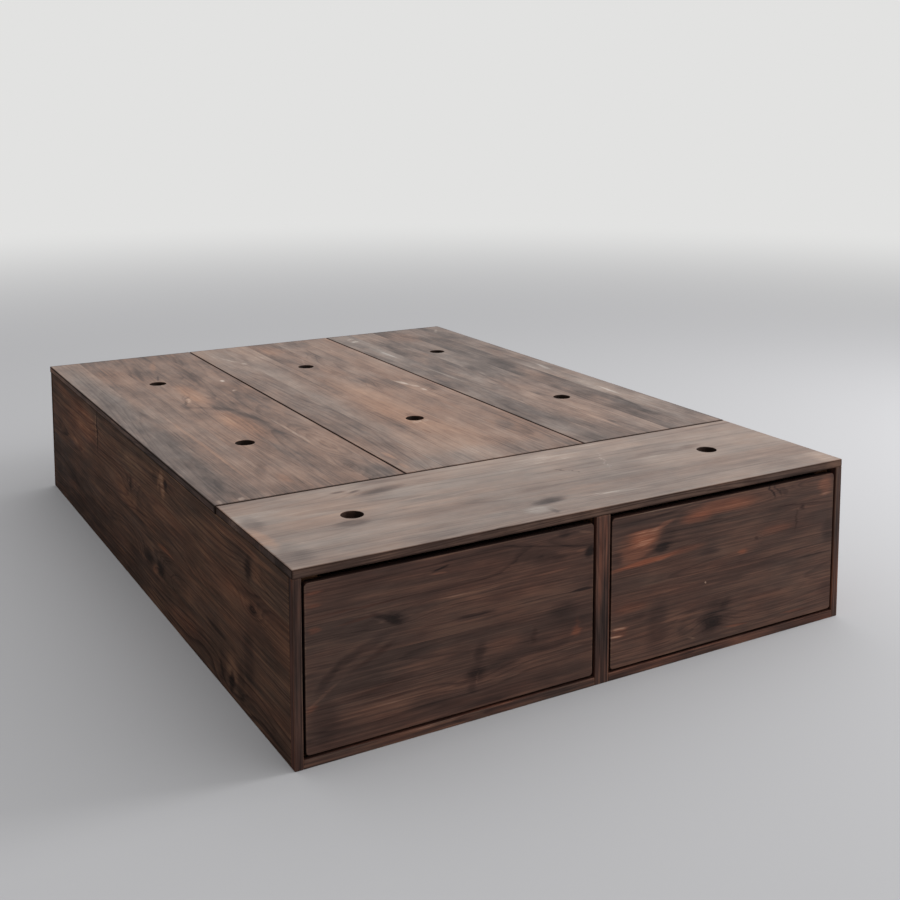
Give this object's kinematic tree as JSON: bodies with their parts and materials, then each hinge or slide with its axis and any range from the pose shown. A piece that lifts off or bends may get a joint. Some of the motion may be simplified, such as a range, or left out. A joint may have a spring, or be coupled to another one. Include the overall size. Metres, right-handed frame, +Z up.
{
  "type": "storage platform bed",
  "caption": "Low solid-wood platform bed for a double mattress, with lift-off lids over storage bins and handle-less drawers at the foot end.",
  "frame": {"origin": "on the floor, under the middle of the bed", "axes": "+X to the bed's right side seen from the foot end, +Y to the head end, +Z up"},
  "size_m": [1.404, 2, 0.388],
  "materials": {
    "side_wood": "dark walnut stain on knotty boards, satin",
    "front_wood": "dark walnut stain with reddish streaks, satin",
    "lid_wood": "walnut stain, slightly worn, satin",
    "inner_wood": "one thin coat of stain, matt",
    "runner_steel": "zinc plated sheet steel"
  },
  "bodies": {
    "case": {"left_side_board": "side_wood", "right_side_board": "side_wood", "back_board": "side_wood", "left_front_stile": "front_wood", "right_front_stile": "front_wood", "center_front_stile": "front_wood", "left_bottom_rail": "front_wood", "right_bottom_rail": "front_wood", "left_drawer_divider": "inner_wood", "right_drawer_divider": "inner_wood", "left_bay_floor": "inner_wood", "right_bay_floor": "inner_wood", "drawer_bay_back": "inner_wood", "bin_front_board": "inner_wood", "left_bin_divider": "inner_wood", "right_bin_divider": "inner_wood", "left_lid_bearer": "inner_wood", "right_lid_bearer": "inner_wood", "left_bin_floor": "inner_wood", "middle_bin_floor": "inner_wood", "right_bin_floor": "inner_wood", "left_drawer_left_runner_cabinet_member": "runner_steel", "left_drawer_right_runner_cabinet_member": "runner_steel", "right_drawer_left_runner_cabinet_member": "runner_steel", "right_drawer_right_runner_cabinet_member": "runner_steel"},
    "cross_lid_body": {"cross_lid": "lid_wood", "cross_lid_left_batten": "inner_wood", "cross_lid_right_batten": "inner_wood"},
    "left_lid_body": {"left_lid": "lid_wood", "left_lid_batten_1": "inner_wood", "left_lid_batten_2": "inner_wood", "left_lid_batten_3": "inner_wood"},
    "middle_lid_body": {"middle_lid": "lid_wood", "middle_lid_batten_1": "inner_wood", "middle_lid_batten_2": "inner_wood", "middle_lid_batten_3": "inner_wood"},
    "right_lid_body": {"right_lid": "lid_wood", "right_lid_batten_1": "inner_wood", "right_lid_batten_2": "inner_wood", "right_lid_batten_3": "inner_wood"},
    "left_drawer": {"left_drawer_front": "front_wood", "left_drawer_inner_front": "inner_wood", "left_drawer_left_side": "inner_wood", "left_drawer_right_side": "inner_wood", "left_drawer_back": "inner_wood", "left_drawer_bottom": "inner_wood", "left_drawer_left_runner_drawer_member": "runner_steel", "left_drawer_right_runner_drawer_member": "runner_steel"},
    "right_drawer": {"right_drawer_front": "front_wood", "right_drawer_inner_front": "inner_wood", "right_drawer_left_side": "inner_wood", "right_drawer_right_side": "inner_wood", "right_drawer_back": "inner_wood", "right_drawer_bottom": "inner_wood", "right_drawer_left_runner_drawer_member": "runner_steel", "right_drawer_right_runner_drawer_member": "runner_steel"},
    "left_drawer_left_intermediate": {"left_drawer_left_runner_intermediate_member": "runner_steel"},
    "left_drawer_right_intermediate": {"left_drawer_right_runner_intermediate_member": "runner_steel"},
    "right_drawer_left_intermediate": {"right_drawer_left_runner_intermediate_member": "runner_steel"},
    "right_drawer_right_intermediate": {"right_drawer_right_runner_intermediate_member": "runner_steel"}
  },
  "joints": [
    {"name": "cross_lid_lift", "type": "slide", "parent": "case", "child": "cross_lid_body", "axis": [0, 0, 1], "range_m": [0, 0.45]},
    {"name": "left_lid_lift", "type": "slide", "parent": "case", "child": "left_lid_body", "axis": [0, 0, 1], "range_m": [0, 0.45]},
    {"name": "middle_lid_lift", "type": "slide", "parent": "case", "child": "middle_lid_body", "axis": [0, 0, 1], "range_m": [0, 0.45]},
    {"name": "right_lid_lift", "type": "slide", "parent": "case", "child": "right_lid_body", "axis": [0, 0, 1], "range_m": [0, 0.45]},
    {"name": "left_drawer_slide", "type": "slide", "parent": "case", "child": "left_drawer", "axis": [0, -1, 0], "range_m": [0, 0.34]},
    {"name": "right_drawer_slide", "type": "slide", "parent": "case", "child": "right_drawer", "axis": [0, -1, 0], "range_m": [0, 0.34]},
    {"name": "left_drawer_left_intermediate_slide", "type": "slide", "parent": "case", "child": "left_drawer_left_intermediate", "axis": [0, -1, 0], "range_m": [0, 0.17]},
    {"name": "left_drawer_right_intermediate_slide", "type": "slide", "parent": "case", "child": "left_drawer_right_intermediate", "axis": [0, -1, 0], "range_m": [0, 0.17]},
    {"name": "right_drawer_left_intermediate_slide", "type": "slide", "parent": "case", "child": "right_drawer_left_intermediate", "axis": [0, -1, 0], "range_m": [0, 0.17]},
    {"name": "right_drawer_right_intermediate_slide", "type": "slide", "parent": "case", "child": "right_drawer_right_intermediate", "axis": [0, -1, 0], "range_m": [0, 0.17]}
  ],
  "couplings": [
    {"joint": "left_drawer_left_intermediate_slide", "follows": "left_drawer_slide", "ratio": 0.5},
    {"joint": "left_drawer_right_intermediate_slide", "follows": "left_drawer_slide", "ratio": 0.5},
    {"joint": "right_drawer_left_intermediate_slide", "follows": "right_drawer_slide", "ratio": 0.5},
    {"joint": "right_drawer_right_intermediate_slide", "follows": "right_drawer_slide", "ratio": 0.5}
  ]
}
